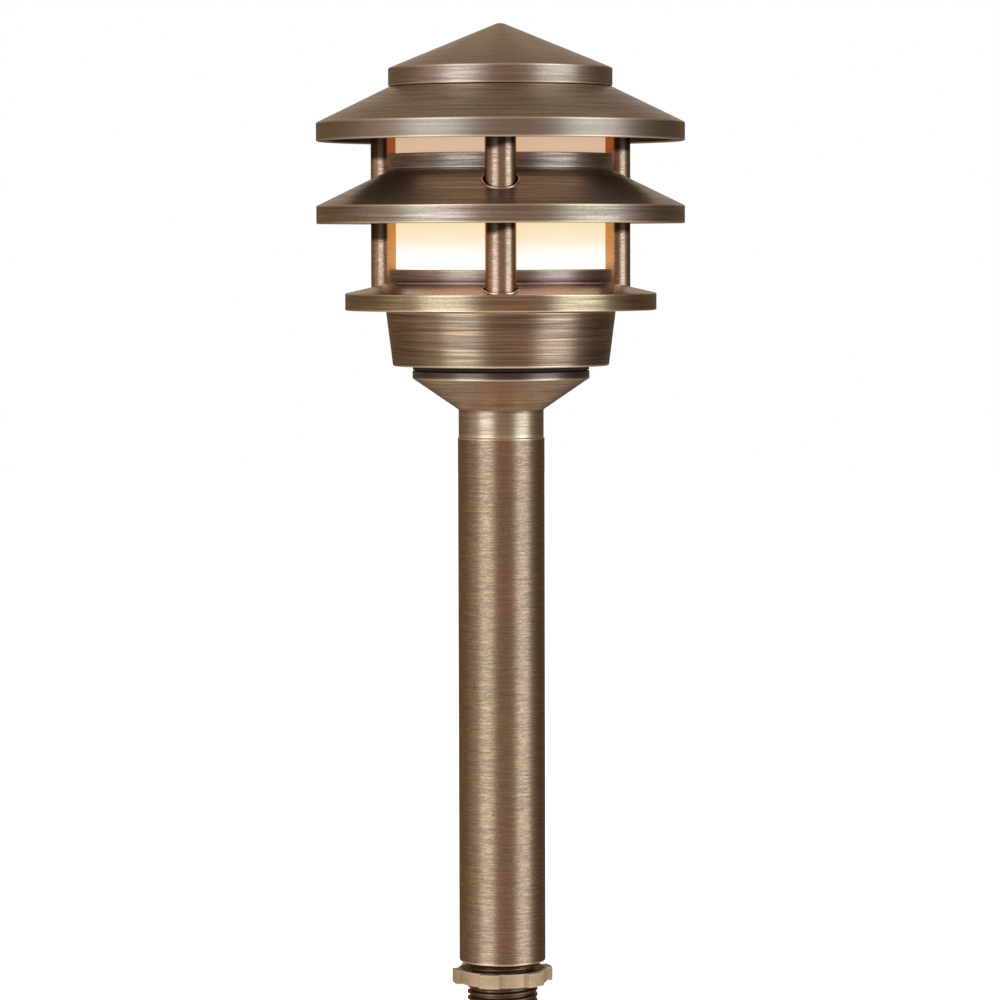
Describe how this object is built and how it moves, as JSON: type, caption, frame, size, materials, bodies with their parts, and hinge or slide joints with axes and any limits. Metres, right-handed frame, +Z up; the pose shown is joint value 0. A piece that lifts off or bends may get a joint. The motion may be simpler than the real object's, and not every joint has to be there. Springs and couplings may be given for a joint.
{
  "type": "pagoda path light",
  "caption": "Tiered pagoda path light: coned roofs on posts round a frosted glass cylinder, lamp housing, collar, round stem and threaded nipple with lock nut.",
  "frame": {"origin": "centre of the threaded nipple's lower end, in the plane of mount nipple_end", "axes": "+Z up along the stem, -Y towards the front post, +X to the right as seen from the front"},
  "size_m": [0.1076, 0.1076, 0.2972],
  "materials": {
    "antique_brass": "satin",
    "post_brass": "satin",
    "screw_brass": "satin",
    "nipple_brass": "satin",
    "nut_brass": "satin",
    "frosted_glass": "matte",
    "seal_rubber": "matte",
    "holder_ceramic": "satin",
    "lamp_glass": "gloss"
  },
  "bodies": {
    "root": {"cap": "antique_brass", "upper_roof": "antique_brass", "middle_roof": "antique_brass", "glass_plate": "antique_brass", "glass_ring": "antique_brass", "lamp_housing": "antique_brass", "stem_collar": "antique_brass", "stem": "antique_brass", "upper_post_front": "post_brass", "upper_post_back_right": "post_brass", "upper_post_back_left": "post_brass", "lower_post_front": "post_brass", "lower_post_back_right": "post_brass", "lower_post_back_left": "post_brass", "tie_screw_front": "screw_brass", "tie_screw_back_right": "screw_brass", "tie_screw_back_left": "screw_brass", "threaded_nipple": "nipple_brass", "lock_nut": "nut_brass", "glass_cylinder": "frosted_glass", "glass_seal": "seal_rubber", "housing_seal": "seal_rubber", "lamp_holder": "holder_ceramic", "lamp_bulb": "lamp_glass"}
  },
  "joints": []
}
